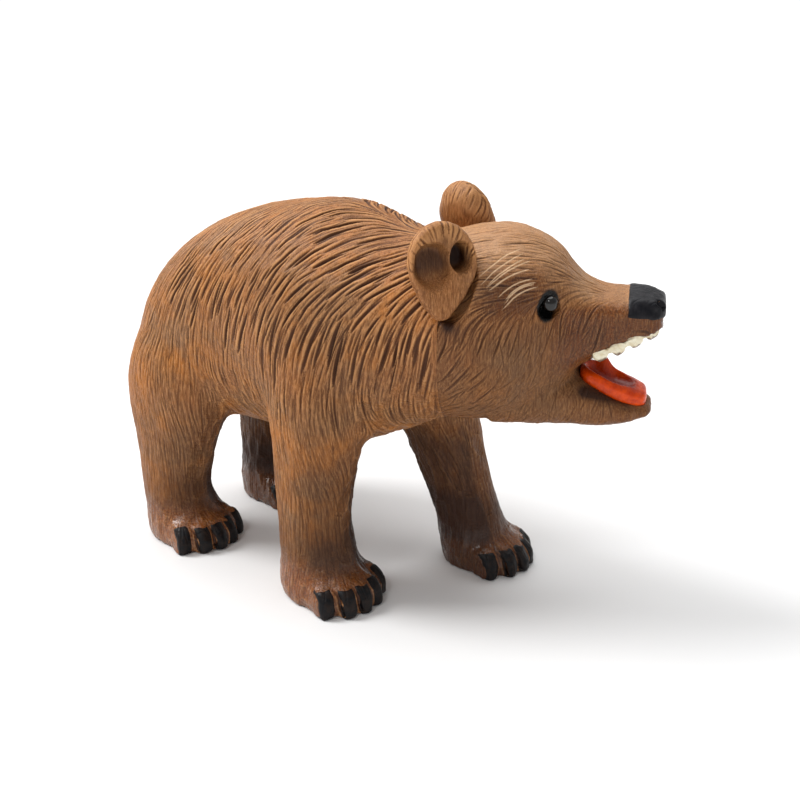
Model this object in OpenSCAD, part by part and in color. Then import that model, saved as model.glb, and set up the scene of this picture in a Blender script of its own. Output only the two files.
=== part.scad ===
// Carved wooden bear, walking, with its head turned to its left and its jaws open.
// The bear faces +X, its left side is +Y, and it stands on the plane z = 0.
// The origin is the middle of the figure's footprint box.

/* [Body] */
// Length of the body block, from the rump to the glued neck joint
body_len = 107; // [105:1:116]
// Height of the highest point of the back
back_h = 103; // [98:1:108]
// Half of the body's greatest width
body_half_w = 28; // [26:0.5:30]

/* [Head] */
// Length of the head block, from the neck joint to the lip
head_len = 51; // [49:0.5:53]
// Half of the head's greatest width, behind the eyes
head_half_w = 23.5; // [22.5:0.5:24.5]
// Turn of the head to the bear's left, in degrees
head_turn = 30; // [22:1:34]
// Roll of the head, its right side down, in degrees
head_roll = 6; // [3:1:7]

/* [Ears] */
// Height of an ear from its root to its rim
ear_h = 24; // [20:0.5:26]
// Width of an ear across its opening
ear_w = 19.5; // [17:0.5:21]
// Thickness of an ear's wall
ear_wall = 3; // [2.4:0.2:3.6]

/* [Eyes] */
// Diameter of a glass eye bead
bead_d = 4; // [3.4:0.2:4.4]
// Diameter of the wire shank behind a bead
shank_d = 1; // [0.8:0.1:1.4]
// Length of the wire shank
shank_len = 7; // [5:0.5:9]

/* [Paws] */
// Width of a paw across its toes
paw_w = 26; // [24:0.5:28]
// Height of a toe
toe_h = 9; // [8:0.5:10]
// Width of a claw
claw_w = 3.4; // [2.8:0.2:3.8]

/* [Neck dowel] */
// Diameter of the hidden dowel that lines up the neck joint
dowel_d = 8; // [6:0.5:10]
// Length of the dowel, half of it on each side of the joint
dowel_len = 24; // [18:1:28]

/* [Hidden] */
LEGS = ["front_right", "front_left", "hind_right", "hind_left"];
toe_count = 5;

// Colours, as the stained wood, the paint and the glass look
stained_wood = "sienna";
face_wood = "peru";
ear_wood = "saddlebrown";
bare_wood = "burlywood";
black_paint = "black";
red_paint = "orangered";
tooth_paint = "ivory";
wire = "silver";

// Smoothness of the carved forms
ring_sides = 24;
ring_steps = 3;
round_sides = 48;
toe_sides = 8;

// Roundness powers of the cross-sections: 1 is an ellipse, below 1 is boxier
trunk_square = 0.9;
nose_square = 0.45;
tongue_square = 0.6;

// Gap left round a bead, a shank and the dowel, for glue
glue_gap = 0.15;

// Middle of the footprint box in the carving's own frame, and the end of the rump
middle_x = 7.19;
middle_y = 0.66;
rump_x = -70;

// Neck joint: the centre of the flat face that the head is glued to
neck_x = rump_x + body_len;
neck_y = 5;
neck_z = 77;

// Body form, one row for each cross-section from the rump to the neck joint:
// place along the body, top and bottom as shares of the back height,
// half-width as a share of the greatest one, step to the left in mm, turn as a share
body_form = [
    [0.00, 0.59, 0.50, 0.20, 0, 0],
    [0.02, 0.655, 0.42, 0.47, 0, 0],
    [0.08, 0.74, 0.37, 0.75, 0, 0],
    [0.20, 0.862, 0.35, 0.96, 0, 0],
    [0.36, 0.945, 0.35, 1.00, 0, 0],
    [0.52, 0.985, 0.355, 0.99, 0, 0],
    [0.68, 1.00, 0.37, 1.00, 0, 0.05],
    [0.80, 0.978, 0.39, 0.97, 0.8, 0.20],
    [0.90, 0.955, 0.44, 0.89, 2.3, 0.60],
    [1.00, 0.955, 0.50, 0.83, neck_y, 1.00]];

// Leg forms, one row for each cross-section from inside the body down to the sole:
// height, centre x, centre y, half-length along X, half-width along Y
front_right_form = [
    [74, 10, -14, 13, 10], [58, 11, -17, 16, 11.5], [44, 11.5, -19, 14, 10.5],
    [30, 10.8, -20, 11.4, 9.5], [16, 11.2, -20, 10.8, 9.5], [9, 12.8, -20, 12.5, 10.5],
    [3, 14.8, -20, 14.6, 11.5], [0, 14.8, -20, 14.2, 11]];
front_left_form = [
    [74, 11, 13, 11, 9], [58, 13.6, 16, 13.2, 11.5], [44, 19, 19, 14, 10.5],
    [30, 23.8, 21, 11.3, 9.5], [16, 29.2, 22, 10.2, 9], [9, 31.8, 23, 11.2, 10.5],
    [3, 34.2, 24, 12.6, 11.5], [0, 34.2, 24, 12.1, 11]];
hind_right_form = [
    [74, -44, -12, 13, 9], [58, -45.5, -17, 17.5, 12.5], [44, -46.5, -20, 20, 11.5],
    [30, -46.5, -22, 15, 10], [16, -46.8, -23, 11.5, 9.5], [9, -44.5, -23, 13, 10.5],
    [3, -41.5, -23, 15, 11.5], [0, -41.5, -23, 14.6, 11]];
hind_left_form = [
    [74, -43, 12, 13, 9], [58, -45, 15, 18.5, 12], [44, -45.5, 15, 18.5, 11],
    [30, -46, 15, 13, 9.5], [16, -47, 15, 11, 9], [9, -46, 15, 12, 10.5],
    [3, -43.5, 15, 13.8, 11.5], [0, -43.5, 15, 13.4, 11]];

// Paws: centre of each sole, its turn in degrees, and the reach of its middle toe
paw_centres = [[18.4, -20], [36, 24], [-38, -23], [-41, 15]];
paw_turns = [-4, 6, -4, 6];
paw_reach = 9.5;

// Toes: distance between two as a share of an even one, how far the outer ones stand
// back for each square millimetre off the middle, their turn in degrees for each
// millimetre, their radius, and the balls that each is hulled over: ahead and up
toe_pitch = paw_w / toe_count * 0.88;
toe_bow = 0.11;
toe_splay = 1.6;
toe_r = paw_w / toe_count * 0.53;
toe_balls = [[-8, toe_h * 0.6], [-1.4, toe_h - toe_r], [1.6, 2.6], [1.2, 0.4], [-6, 1]];
toe_room = 20;

// Claws: how far each stands proud of its toe, its thickness, and the place, sink
// and rake of its back face
claw_lift = 0.4;
claw_depth = 4.4;
claw_back = 1.6;
claw_sink = 2;
claw_rake = 14;

// Head form in the head's own frame, which has its origin in the neck joint,
// x forward, y to the left and z up: place along the head as a share, top and
// bottom in mm, half-width as a share of the greatest one, roundness power
skull_form = [
    [0.00, 21.4, -25, 0.985, 0.9], [0.14, 23.2, -25.2, 1.00, 0.9],
    [0.30, 24, -25.2, 0.92, 0.9], [0.42, 23, -24.5, 0.78, 0.9],
    [0.52, 19.2, -20, 0.63, 0.85], [0.62, 13.4, -10.5, 0.52, 0.75],
    [0.74, 10.4, -6.4, 0.43, 0.65], [0.88, 9.6, -2.3, 0.36, 0.6],
    [0.97, 7.2, 0.2, 0.31, 0.6], [1.00, 5.2, 1.4, 0.25, 0.7]];
jaw_form = [
    [0.22, -10, -25, 0.72, 0.9], [0.42, -9.5, -25.2, 0.64, 0.85],
    [0.58, -10.8, -25.2, 0.53, 0.8], [0.68, -13, -25.4, 0.46, 0.75],
    [0.80, -15.2, -25.3, 0.39, 0.75], [0.90, -16.4, -24, 0.33, 0.75],
    [0.955, -17.2, -22.3, 0.27, 0.75], [0.975, -18.2, -21, 0.18, 0.8]];

// Nose in the head's own frame: place along the head in mm, top, bottom, half-width
nose_form = [
    [-8.0, 10.2, 4.6, 6.5], [-5.5, 10.2, 4.2, 6.7], [-2.0, 9.6, 3.8, 6.3],
    [0.0, 8.8, 3.8, 5.6], [0.7, 7.8, 4.6, 4.2]];

// Tongue, a shallow tray in the lower jaw: place along the head in mm, top, half-width
tongue_form = [
    [-18.5, -10.4, 3.2], [-17, -9.8, 5.2], [-12, -10.8, 5.9], [-6, -12.6, 5.6],
    [-2.8, -13.8, 4.4], [-1.9, -14.6, 2.4]];
tongue_bottom = -17.6;

// The hollow in its top: half-width, depth, slope in degrees, rim at each end, and
// its middle's step back and up
tongue_hollow_w = 4.6;
tongue_hollow = 3.6;
tongue_slope = 14;
tongue_rim = 0.9;
tongue_shift = [-0.4, 0.4];

// Ear cup, one row for each ring from the middle of its back, over the rim and down
// to the middle of its bowl: depth as a share, radius as a share
ear_form = [
    [0.00, 0.20], [0.04, 0.45], [0.22, 0.76], [0.52, 0.95], [0.82, 1.00],
    [1.00, 0.92], [0.97, 0.79], [0.80, 0.68], [0.62, 0.50], [0.52, 0.15]];
ear_depth = ear_wall * 2.6;
ear_root_w = 0.72;
ear_place = [0, 18.6, 17.6];
ear_facing = 56;
ear_lean = 14;

// Eye: middle of a bead, and the way it faces, in degrees from straight ahead
eye_place = [25, 13.4, 9.6];
eye_facing = 66;
socket_length = 8.5;
socket_height = 5.6;
socket_rim = 0.6;

// Upper lip line, and the teeth that hang from it on each side
lip_corner = [31, -9];
lip_slope = 0.53;
side_tooth_xs = [37.2, 41.2, 45.2, 48.8];
side_tooth_ys = [9.6, 8.7, 7.8, 6.6];
incisor_ys = [-2.25, -0.75, 0.75, 2.25];
incisor_x = 49.3;
incisor_bow = 0.25;
incisor_lift = 0.4;
tooth_h = 3.6;
tooth_w = 3.6;
incisor_w = 1.3;
root_h = 1.6;
waist_share = 0.4;
tip_share = 0.28;

// Catmull-Rom value between rows a and b of a form, at share t of the way
function blend(before, a, b, after, t) = 0.5 * (2 * a + (b - before) * t
    + (2 * before - 5 * a + 4 * b - after) * t * t
    + (3 * a - before - 3 * b + after) * t * t * t);

// A form with ring_steps sections put in between each two of its rows
function refine(form) = let (last = len(form) - 1) concat(
    [for (i = [0:last - 1]) for (s = [0:ring_steps - 1])
        blend(form[max(i - 1, 0)], form[i], form[i + 1], form[min(i + 2, last)], s / ring_steps)],
    [form[last]]);

// A closed skin over a list of rings that all have the same number of points
module skin(rings) {
    sides = len(rings[0]);
    last = len(rings) - 1;
    polyhedron(
        points = [for (ring = rings) each ring],
        faces = concat(
            [[for (k = [0:sides - 1]) k]],
            [for (i = [0:last - 1]) for (k = [0:sides - 1]) let (n = (k + 1) % sides)
                each [[i * sides + k, (i + 1) * sides + k, (i + 1) * sides + n],
                      [i * sides + k, (i + 1) * sides + n, i * sides + n]]],
            [[for (k = [0:sides - 1]) last * sides + sides - 1 - k]]));
}

// A ring that stands upright across a heading, with its own top and bottom.
// square is its roundness power
function upright_ring(x, y, top, bottom, half_w, heading, square = 1) = [
    for (k = [0:ring_sides - 1])
        let (a = 360 * k / ring_sides,
             side = half_w * sign(cos(a)) * pow(abs(cos(a)), square),
             up = sign(sin(a)) * pow(abs(sin(a)), square))
        [x - side * sin(heading), y + side * cos(heading),
         (top + bottom) / 2 + up * (top - bottom) / 2]];

// A level ring at height z
function level_ring(z, x, y, half_x, half_y) = [
    for (k = [0:ring_sides - 1])
        let (a = -360 * k / ring_sides)
        [x + half_x * cos(a), y + half_y * sin(a), z]];

module body_trunk() {
    skin([for (row = refine(body_form))
        upright_ring(rump_x + row[0] * body_len, row[4], row[1] * back_h, row[2] * back_h,
            row[3] * body_half_w, row[5] * head_turn, trunk_square)]);
}

module leg(form) {
    skin([for (row = refine(form)) level_ring(row[0], row[1], row[2], row[3], row[4])]);
}

// Places its children at toe number toe of a paw, with x pointing out along the toe
module at_toe(paw, toe) {
    across = (toe - (toe_count + 1) / 2) * toe_pitch;
    translate([paw_centres[paw][0], paw_centres[paw][1], 0])
        rotate(paw_turns[paw])
            translate([paw_reach - toe_bow * across * across / 2, across, 0])
                rotate(across * toe_splay)
                    children();
}

module above_floor() {
    intersection() {
        children();
        translate([-toe_room, -toe_room / 2, 0]) cube([2 * toe_room, toe_room, toe_room]);
    }
}

module toe_form() {
    above_floor() hull() for (ball = toe_balls)
        translate([ball[0], 0, ball[1]]) sphere(r = toe_r, $fn = toe_sides);
}

module claw_form() {
    above_floor() intersection() {
        translate([claw_lift, 0, claw_lift]) toe_form();
        translate([claw_back, -claw_w / 2, 0]) rotate([0, -claw_rake, 0])
            translate([0, 0, -claw_sink]) cube([claw_depth, claw_w, toe_h]);
    }
}

module neck_frame() {
    translate([neck_x, neck_y, neck_z]) rotate([0, 0, head_turn]) rotate([head_roll, 0, 0])
        children();
}

module dowel_form(gap) {
    neck_frame() rotate([0, 90, 0])
        cylinder(d = dowel_d + 2 * gap, h = dowel_len + 2 * gap, center = true, $fn = round_sides);
}

// Turns the eye, ear or tooth row of the left side to either side: side is 1 or -1
module on_side(side) {
    mirror([0, side > 0 ? 0 : 1, 0]) children();
}

module at_eye(side) {
    neck_frame() on_side(side) translate(eye_place) rotate(eye_facing) children();
}

module ear_form_at(side) {
    neck_frame() on_side(side)
        translate(ear_place) rotate(ear_facing) rotate([0, -ear_lean, 0]) ear_cup();
}

// An ear cup that opens towards +X; its outline is narrower at the root
module ear_cup() {
    skin([for (row = refine(ear_form)) [
        for (k = [0:ring_sides - 1])
            let (a = 360 * k / ring_sides,
                 narrow = (1 + ear_root_w) / 2 + (1 - ear_root_w) / 2 * sin(a))
            [(row[0] - 0.5) * ear_depth, row[1] * narrow * ear_w / 2 * cos(a),
             row[1] * ear_h / 2 * sin(a)]]]);
}

module bead_form(side, gap) {
    at_eye(side) sphere(d = bead_d + 2 * gap, $fn = round_sides);
}

module shank_form(side, gap) {
    at_eye(side) translate([-bead_d / 2 - shank_len - gap, 0, 0]) rotate([0, 90, 0])
        cylinder(d = shank_d + 2 * gap, h = shank_len + gap, $fn = round_sides);
}

module eye_socket(side) {
    at_eye(side) translate([bead_d / 2 + socket_rim, 0, 0])
        scale([bead_d / 2 + socket_rim, socket_length / 2, socket_height / 2])
            sphere(r = 1, $fn = ring_sides);
}

module nose_form_solid() {
    neck_frame() skin([for (row = refine(nose_form))
        upright_ring(head_len + row[0], 0, row[1], row[2], row[3], 0, nose_square)]);
}

module tongue_outer() {
    skin([for (row = refine(tongue_form))
        upright_ring(head_len + row[0], 0, row[1], tongue_bottom, row[2], 0, tongue_square)]);
}

module tongue_form_solid() {
    first = tongue_form[0];
    final = tongue_form[len(tongue_form) - 1];
    middle = head_len + (first[0] + final[0]) / 2;
    neck_frame() difference() {
        tongue_outer();
        translate([middle + tongue_shift[0], 0, first[1] + tongue_shift[1]])
            rotate([0, tongue_slope, 0])
                scale([(final[0] - first[0]) / 2 - tongue_rim, tongue_hollow_w, tongue_hollow])
                    sphere(r = 1, $fn = ring_sides);
    }
}

// A tooth that hangs from z = 0, with its root above
module tooth(w) {
    hull() {
        translate([-w / 2, -w / 2, 0]) cube([w, w, root_h]);
        translate([0, 0, -tooth_h * waist_share]) sphere(d = w, $fn = toe_sides);
        translate([0, 0, w * tip_share - tooth_h]) sphere(r = w * tip_share, $fn = toe_sides);
    }
}

function lip_z(x) = lip_corner[1] + (x - lip_corner[0]) * lip_slope;

module side_teeth(side) {
    neck_frame() on_side(side) for (i = [0:len(side_tooth_xs) - 1])
        translate([side_tooth_xs[i], side_tooth_ys[i] - tooth_w / 2, lip_z(side_tooth_xs[i])])
            tooth(tooth_w);
}

module incisor_row() {
    neck_frame() for (y = incisor_ys)
        translate([incisor_x - abs(y) * incisor_bow, y, lip_z(incisor_x) + incisor_lift])
            tooth(incisor_w);
}

module head_solid() {
    for (form = [skull_form, jaw_form])
        skin([for (row = refine(form))
            upright_ring(row[0] * head_len, 0, row[1], row[2], row[3] * head_half_w, 0, row[4])]);
}

module claw(paw, toe) {
    color(black_paint) at_toe(paw, toe) claw_form();
}

module body_block() {
    color(stained_wood) difference() {
        union() {
            body_trunk();
            for (form = [front_right_form, front_left_form, hind_right_form, hind_left_form])
                leg(form);
            for (paw = [0:len(LEGS) - 1]) for (toe = [1:toe_count])
                at_toe(paw, toe) toe_form();
        }
        for (paw = [0:len(LEGS) - 1]) for (toe = [1:toe_count])
            at_toe(paw, toe) claw_form();
        for (side = [-1, 1]) hull() ear_form_at(side);
        dowel_form(glue_gap);
    }
}

module head_block() {
    color(face_wood) difference() {
        neck_frame() head_solid();
        for (side = [-1, 1]) {
            eye_socket(side);
            bead_form(side, glue_gap);
            shank_form(side, glue_gap);
            hull() ear_form_at(side);
            side_teeth(side);
        }
        incisor_row();
        nose_form_solid();
        tongue_form_solid();
        dowel_form(glue_gap);
    }
}

module neck_dowel() {
    color(bare_wood) dowel_form(0);
}

module ear(side) {
    color(ear_wood) ear_form_at(side);
}

module eye_bead(side) {
    color(black_paint) bead_form(side, 0);
}

module eye_shank(side) {
    color(wire) shank_form(side, 0);
}

module nose() {
    color(black_paint) nose_form_solid();
}

module tongue() {
    color(red_paint) tongue_form_solid();
}

module upper_teeth(side) {
    color(tooth_paint) side_teeth(side);
}

module incisors() {
    color(tooth_paint) incisor_row();
}

module placed() {
    translate([-middle_x, -middle_y, 0]) children();
}

placed() body_block();
placed() head_block();
placed() neck_dowel();
placed() ear(-1);  // ear_right
placed() ear(1);  // ear_left
placed() eye_bead(-1);  // eye_bead_right
placed() eye_bead(1);  // eye_bead_left
placed() eye_shank(-1);  // eye_shank_right
placed() eye_shank(1);  // eye_shank_left
placed() nose();
placed() tongue();
placed() upper_teeth(-1);  // upper_teeth_right
placed() upper_teeth(1);  // upper_teeth_left
placed() incisors();
for (paw = [0:len(LEGS) - 1]) for (toe = [1:toe_count])
    placed() claw(paw, toe);
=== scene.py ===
"""Looks of the carved wooden bear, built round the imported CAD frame.

The CAD blocks are joined, remeshed finely and smoothed into one carving, cut apart again at the
glued neck joint, and then cut with thousands of tapered gouge strokes that follow the lie of the
fur. Work is done in millimetres in the row's frame and turned to metres when a piece is made.
"""
import math
from functools import partial

import bmesh
import bpy
import numpy as np
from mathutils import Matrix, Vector
from mathutils.bvhtree import BVHTree


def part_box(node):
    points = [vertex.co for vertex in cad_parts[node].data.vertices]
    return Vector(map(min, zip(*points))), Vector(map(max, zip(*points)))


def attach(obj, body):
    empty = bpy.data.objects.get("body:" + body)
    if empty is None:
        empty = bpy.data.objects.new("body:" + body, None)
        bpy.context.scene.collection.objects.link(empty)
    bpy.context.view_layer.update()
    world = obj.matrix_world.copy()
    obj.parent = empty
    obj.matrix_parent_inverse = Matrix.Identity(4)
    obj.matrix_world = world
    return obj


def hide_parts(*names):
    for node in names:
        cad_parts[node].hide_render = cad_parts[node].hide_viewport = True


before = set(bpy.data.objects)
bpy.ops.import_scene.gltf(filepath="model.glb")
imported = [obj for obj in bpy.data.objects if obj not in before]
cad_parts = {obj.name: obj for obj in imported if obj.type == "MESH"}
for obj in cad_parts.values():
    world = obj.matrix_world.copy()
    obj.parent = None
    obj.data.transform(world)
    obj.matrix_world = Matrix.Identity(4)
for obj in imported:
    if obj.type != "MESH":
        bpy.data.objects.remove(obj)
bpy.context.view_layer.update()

MM = 0.001
LEGS = ("front_right", "front_left", "hind_right", "hind_left")
RIGHT, LEFT = -1, 1
TOES = 5
BODY_VOXEL = 0.55
HEAD_VOXEL = 0.42
rng = np.random.default_rng(1893)


# ------------------------ mesh arrays

def node_arrays(name):
    """Vertices in millimetres and triangles of a CAD node."""
    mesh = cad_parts[name].data
    mesh.calc_loop_triangles()
    verts = np.empty(len(mesh.vertices) * 3)
    mesh.vertices.foreach_get("co", verts)
    tris = np.empty(len(mesh.loop_triangles) * 3, dtype=np.int32)
    mesh.loop_triangles.foreach_get("vertices", tris)
    return verts.reshape(-1, 3) / MM, tris.reshape(-1, 3)


def joined(parts):
    """Several (vertices, faces) pairs as one pair."""
    verts, faces, start = [], [], 0
    for v, f in parts:
        verts.append(v)
        faces.append(f + start)
        start += len(v)
    return np.concatenate(verts), np.concatenate(faces)


def to_mesh(name, verts, faces):
    """A Blender mesh from arrays; every face has the same number of corners."""
    corners = faces.shape[1]
    mesh = bpy.data.meshes.new(name)
    mesh.vertices.add(len(verts))
    mesh.vertices.foreach_set("co", np.ascontiguousarray(verts, dtype=np.float32).ravel())
    mesh.loops.add(faces.size)
    mesh.loops.foreach_set("vertex_index", np.ascontiguousarray(faces, dtype=np.int32).ravel())
    mesh.polygons.add(len(faces))
    mesh.polygons.foreach_set("loop_start", np.arange(0, faces.size, corners, dtype=np.int32))
    mesh.update(calc_edges=True)
    return mesh


def arrays_of(mesh):
    """Vertices and faces of a mesh of quads, as arrays."""
    verts = np.empty(len(mesh.vertices) * 3)
    mesh.vertices.foreach_get("co", verts)
    faces = np.empty(len(mesh.loops), dtype=np.int32)
    mesh.loops.foreach_get("vertex_index", faces)
    return verts.reshape(-1, 3), faces.reshape(-1, 4)


def evaluated(mesh, kind, **settings):
    """Arrays of a mesh after one modifier that leaves only quads; the mesh is removed."""
    obj = bpy.data.objects.new("scratch", mesh)
    bpy.context.scene.collection.objects.link(obj)
    modifier = obj.modifiers.new(kind, kind)
    for key, value in settings.items():
        setattr(modifier, key, value)
    bpy.context.view_layer.update()
    out = arrays_of(obj.evaluated_get(bpy.context.evaluated_depsgraph_get()).to_mesh())
    obj.to_mesh_clear()
    bpy.data.objects.remove(obj)
    bpy.data.meshes.remove(mesh)
    return out


def edge_list(faces):
    """Unique edges of a face array."""
    rolled = np.roll(faces, -1, axis=1)
    pairs = np.stack([faces.ravel(), rolled.ravel()], 1).astype(np.int64)
    pairs.sort(axis=1)
    keys = np.unique(pairs[:, 0] * (faces.max() + 1) + pairs[:, 1])
    return np.stack([keys // (faces.max() + 1), keys % (faces.max() + 1)], 1)


class Neighbours:
    """Averages over each vertex's neighbours, for smoothing."""

    def __init__(self, count, faces):
        edges = edge_list(faces)
        self.a = np.concatenate([edges[:, 0], edges[:, 1]])
        self.b = np.concatenate([edges[:, 1], edges[:, 0]])
        self.count = count
        self.degree = np.maximum(np.bincount(self.a, minlength=count), 1)

    def mean(self, values):
        if values.ndim == 1:
            return np.bincount(self.a, values[self.b], self.count) / self.degree
        return np.stack([self.mean(values[:, k]) for k in range(values.shape[1])], 1)

    def smooth(self, values, rounds, amount=0.6):
        """amount is a number or one weight for each vertex."""
        if isinstance(amount, np.ndarray) and values.ndim > 1:
            amount = amount[:, None]
        for _ in range(rounds):
            values = values + amount * (self.mean(values) - values)
        return values


def remeshed(verts, faces, voxel, rounds=0):
    """An even skin of quads round a mesh, smoothed, and its Neighbours."""
    rough = to_mesh("scratch", verts, faces)
    verts, faces = evaluated(rough, "REMESH", mode="VOXEL", voxel_size=voxel)
    around = Neighbours(len(verts), faces)
    return around.smooth(verts, rounds), faces, around


def unit(v):
    """Vectors scaled to a length of 1."""
    return v / np.maximum(np.linalg.norm(v, axis=-1, keepdims=True), 1e-12)


def normals_of(verts, faces):
    """Unit vertex normals of a mesh of quads."""
    a, b, c, d = (verts[faces[:, corner]] for corner in range(4))
    cross = np.cross(c - a, d - b)
    out = np.zeros_like(verts)
    for corner in range(4):
        for axis in range(3):
            out[:, axis] += np.bincount(faces[:, corner], cross[:, axis], len(verts))
    return unit(out)


def smoothstep(low, high, x):
    """0 at low and 1 at high, with a soft start and end; low may be the higher number."""
    t = np.clip((x - low) / (high - low), 0, 1)
    return t * t * (3 - 2 * t)


def above_ground(verts):
    """The same vertices, with none under the plane that the paws stand on."""
    verts[:, 2] = np.maximum(verts[:, 2], 0)
    return verts


class Waves:
    """A smooth random field made of a few sine waves; values lie within about -1 and 1."""

    def __init__(self, wavelength, count=7):
        direction = unit(rng.normal(size=(count, 3)))
        scale = 2 * math.pi / (wavelength * rng.uniform(0.6, 1.5, count))
        self.vectors = direction * scale[:, None]
        self.phases = rng.uniform(0, 2 * math.pi, count)

    def __call__(self, points):
        return np.sin(points @ self.vectors.T + self.phases).mean(axis=1) * 1.6


# ------------------------ places, from the frame

def centre_of(name):
    """Middle of a CAD node's box, in millimetres."""
    low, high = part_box(name)
    return (np.array(low) + np.array(high)) / 2 / MM


neck = centre_of("neck_dowel")
dowel_points = node_arrays("neck_dowel")[0] - neck
ahead = np.linalg.svd(dowel_points, full_matrices=False)[2][0]
ahead = ahead * np.sign(ahead[0])
ear_line = centre_of("ear_left") - centre_of("ear_right")
left = unit(ear_line - ahead * (ear_line @ ahead))
up = np.cross(ahead, left)
HEAD_AXES = np.stack([ahead, left, up])


def to_head(points):
    """Row coordinates to the head's own frame: x ahead, y to the left, z up."""
    return (points - neck) @ HEAD_AXES.T


def from_head(points):
    """The head's own frame back to row coordinates."""
    return np.asarray(points) @ HEAD_AXES + neck


def claw_names(leg):
    """CAD nodes of a paw's claws, from one side to the other."""
    return [f"claw_{leg}_{toe}" for toe in range(1, TOES + 1)]


# ------------------------ the carving before its fur

BLOCKS = ["body_block", "head_block", "neck_dowel", "nose"]
BLOCKS += [name for leg in LEGS for name in claw_names(leg)]

# Masses and hollows pressed into the form: place, radius and height in millimetres, and
# whether the place is in the head's frame. Each is made on both sides.
MASSES = [
    ((0, 27, 64), 12, 1.3, False),
    ((-54, 24, 56), 13, 1.0, False),
    ((-25, 28, 60), 10, -1.2, False),
    ((16, 27, 70), 8, -0.8, False),
    ((1, 0, 103), 9, 0.4, False),
    ((22.5, 10.5, 15.5), 3.6, 1.1, True),
    ((26, 13.5, 9), 3.4, -1.0, True),
    ((11, 22, -5), 8, 0.8, True),
    ((34, 10, 2), 4.5, -0.5, True),
    ((48.6, 5.8, 0.4), 2.0, 0.5, True),
    ((25, 15.6, 14.2), 2.2, 0.7, True),
    ((30, 12.6, 4.5), 2.6, -0.5, True),
]


def shape_head(verts):
    """Lowers the brow and the nose a little and draws the lower lip out to a low point."""
    q = to_head(verts)
    x, y, z = q.T
    high = smoothstep(0, 12, z) * smoothstep(12, 22, x)
    lip = smoothstep(33, 49, x) * smoothstep(-24.5, -17, z) * (1 - smoothstep(-13, -9, z))
    tip = smoothstep(44, 49, x) * smoothstep(-25, -19, z) * (1 - smoothstep(-13, -9, z))
    q[:, 2] -= 1.1 * high + 2.2 * lip
    roll = smoothstep(44, 50, x) * np.exp(-((z - 0.2) / 1.9) ** 2)
    q[:, 0] += 0.8 * tip + 1.2 * roll
    q[:, 1] *= 1 - 0.16 * tip
    return from_head(q)


def press(verts, normals, centre, radius, amount):
    """Moves a surface outwards by amount at centre, fading over radius."""
    reach = np.exp(-np.sum((verts - centre) ** 2, axis=1) / (2 * radius ** 2))
    return verts + normals * (amount * reach)[:, None]


def smooth_bear(voxel):
    """The whole carving before its fur: all blocks as one skin, smoothed, with its masses."""
    verts, faces, around = remeshed(*joined([node_arrays(name) for name in BLOCKS]), voxel)
    height = verts[:, 2]
    leg_roots = 1 - smoothstep(-4, 2, to_head(verts)[:, 0])
    leg_roots *= smoothstep(33, 42, height) * (1 - smoothstep(80, 90, height))
    verts = around.smooth(verts, 7)
    verts = around.smooth(verts, 70, 0.75 * leg_roots)
    paw_tops = (1 - smoothstep(13, 18, height)) * smoothstep(0.3, 1.5, height)
    verts = around.smooth(verts, 30, 0.7 * paw_tops)
    normals = normals_of(verts, faces)
    for place, radius, amount, in_head in MASSES:
        for side in (RIGHT, LEFT):
            spot = np.array([place[0], side * place[1], place[2]], dtype=float)
            verts = press(verts, normals, from_head(spot) if in_head else spot, radius, amount)
    return above_ground(shape_head(verts)), faces


def faces_of_head(mesh):
    """Faces ahead of the joint plane that are joined to the foremost one, on the nose."""
    def forwardness(face):
        return (face.calc_center_median() - Vector(neck)).dot(Vector(ahead))

    ahead_faces = {face for face in mesh.faces if forwardness(face) > 0}
    found = {max(ahead_faces, key=forwardness)}
    front = list(found)
    while front:
        face = front.pop()
        for edge in face.edges:
            for other in edge.link_faces:
                if other in ahead_faces and other not in found:
                    found.add(other)
                    front.append(other)
    return found


def block_half(keep_head, voxel):
    """The carving on one side of the neck joint, closed by a flat face and subdivided once."""
    mesh = to_mesh("half", *smooth_bear(voxel))
    half = bmesh.new()
    half.from_mesh(mesh)
    everything = half.verts[:] + half.edges[:] + half.faces[:]
    bmesh.ops.bisect_plane(half, geom=everything, dist=1e-4, plane_co=Vector(neck),
                           plane_no=Vector(ahead))
    of_head = faces_of_head(half)
    unwanted = [f for f in half.faces if (f in of_head) != keep_head]
    bmesh.ops.delete(half, geom=unwanted, context="FACES")
    bmesh.ops.holes_fill(half, edges=[e for e in half.edges if e.is_boundary], sides=0)
    bmesh.ops.recalc_face_normals(half, faces=half.faces)
    half.to_mesh(mesh)
    half.free()
    return evaluated(mesh, "SUBSURF", subdivision_type="SIMPLE", levels=1)


# ------------------------ strokes of the gouge

# Columns of a sample: where it is, the way it runs, the surface's normal, and its measures
PLACE, RUN, FACING = slice(0, 3), slice(3, 6), slice(6, 9)
HALF_LENGTH, HALF_WIDTH, DEPTH = 9, 10, 11
COLUMNS = 12
# Samples are cut in bands of like reach, and in batches that fit in memory
BANDS = (0, 0.4, 0.6, 0.9, 1.4, 9)
BATCH = 2_000_000
THINNEST = 0.12
NEAR = 2.5


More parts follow.
